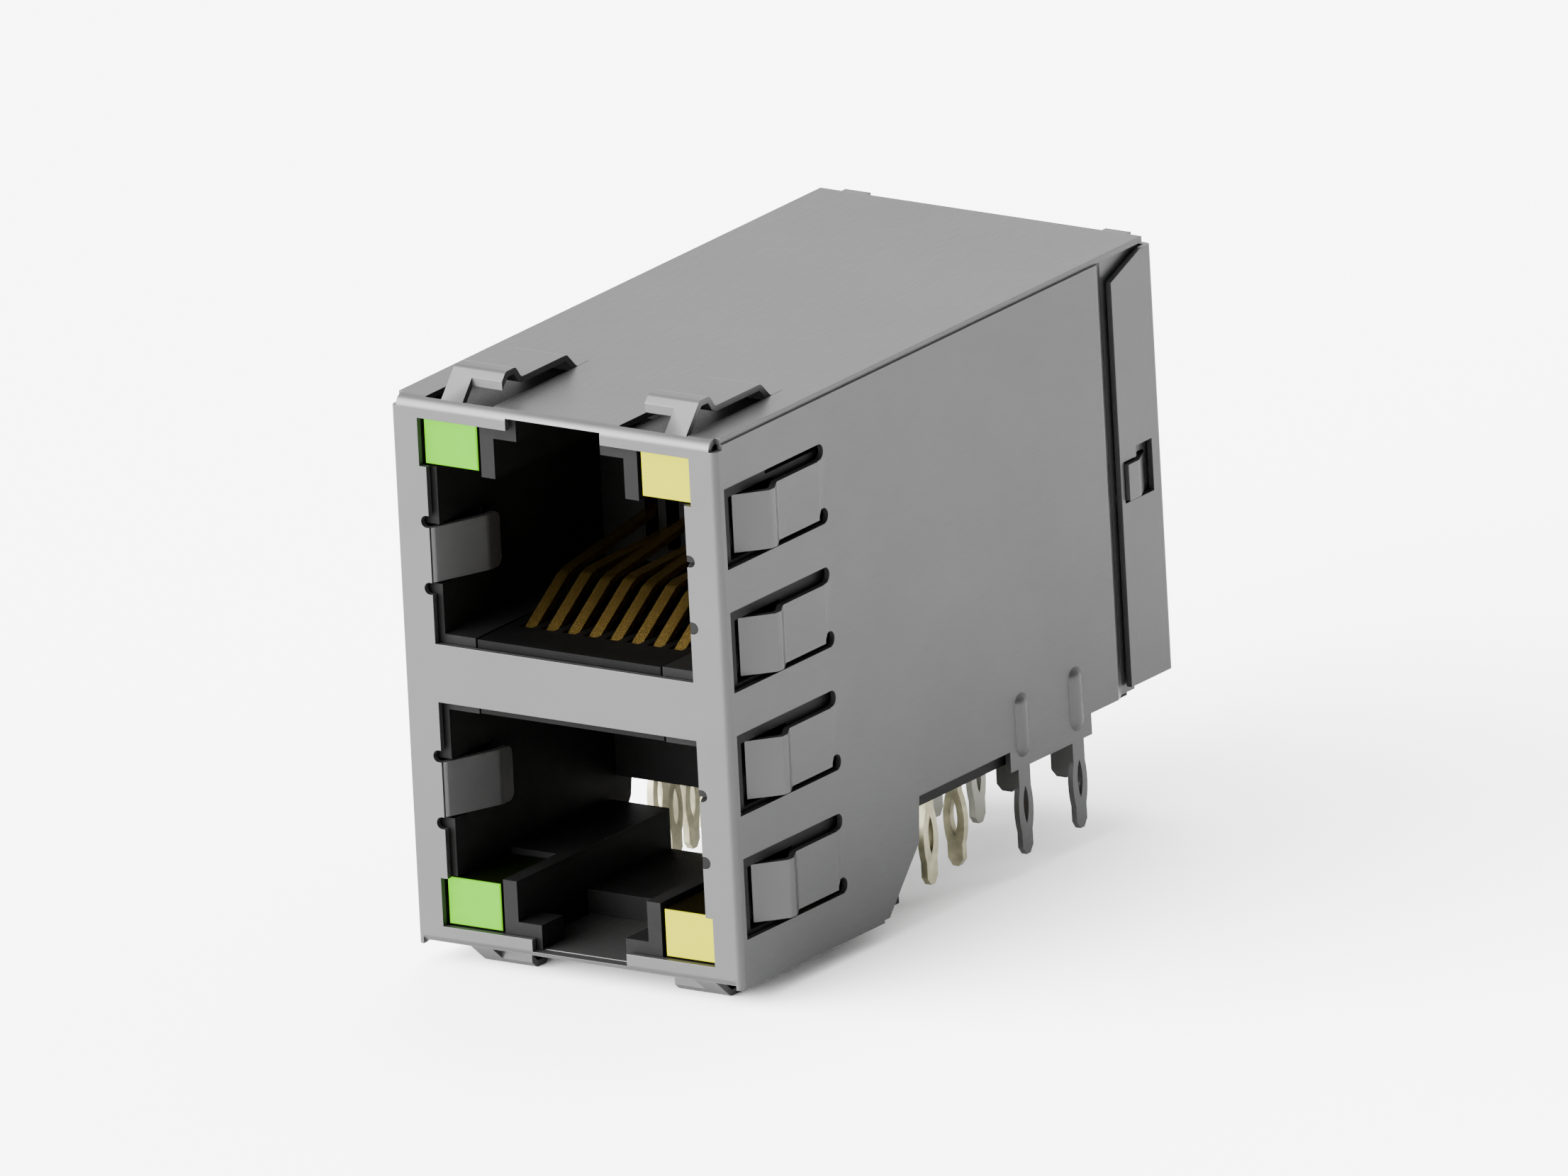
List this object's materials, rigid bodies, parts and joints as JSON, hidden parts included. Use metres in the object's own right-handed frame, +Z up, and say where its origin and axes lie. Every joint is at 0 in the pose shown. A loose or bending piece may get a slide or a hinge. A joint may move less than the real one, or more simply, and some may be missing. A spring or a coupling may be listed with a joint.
{
  "type": "rj45 board jack",
  "caption": "Shielded board-mounted modular jack with stacked ports, status lamps, spring fingers and press-fit tails.",
  "frame": {"origin": "middle of the footprint, level with the lowest point of the bottom spring fingers", "axes": "+Z up from the board, +Y from the ports towards the rear cover, +X to the right when the ports are faced"},
  "size_m": [0.0164, 0.0308, 0.0246],
  "materials": {
    "plated_sheet": "satin nickel plate",
    "black_moulding": "fine moulded satin",
    "gold_contact": "gold plate over the spring, tin on the tail",
    "tinned_lead": "dull tin plate",
    "green_lens": "clear moulded",
    "yellow_lens": "clear moulded"
  },
  "bodies": {
    "root": {"outer_shield": "plated_sheet", "rear_cover": "plated_sheet", "port_housing": "black_moulding", "tail_aligner": "black_moulding", "upper_contact_carrier": "black_moulding", "lower_contact_carrier": "black_moulding", "upper_contact_1": "gold_contact", "upper_contact_2": "gold_contact", "upper_contact_3": "gold_contact", "upper_contact_4": "gold_contact", "upper_contact_5": "gold_contact", "upper_contact_6": "gold_contact", "upper_contact_7": "gold_contact", "upper_contact_8": "gold_contact", "lower_contact_1": "gold_contact", "lower_contact_2": "gold_contact", "lower_contact_3": "gold_contact", "lower_contact_4": "gold_contact", "lower_contact_5": "gold_contact", "lower_contact_6": "gold_contact", "lower_contact_7": "gold_contact", "lower_contact_8": "gold_contact", "upper_green_lamp": "green_lens", "upper_yellow_lamp": "yellow_lens", "lower_green_lamp": "green_lens", "lower_yellow_lamp": "yellow_lens", "upper_green_leads": "tinned_lead", "upper_yellow_leads": "tinned_lead", "lower_green_leads": "tinned_lead", "lower_yellow_leads": "tinned_lead"}
  },
  "joints": []
}
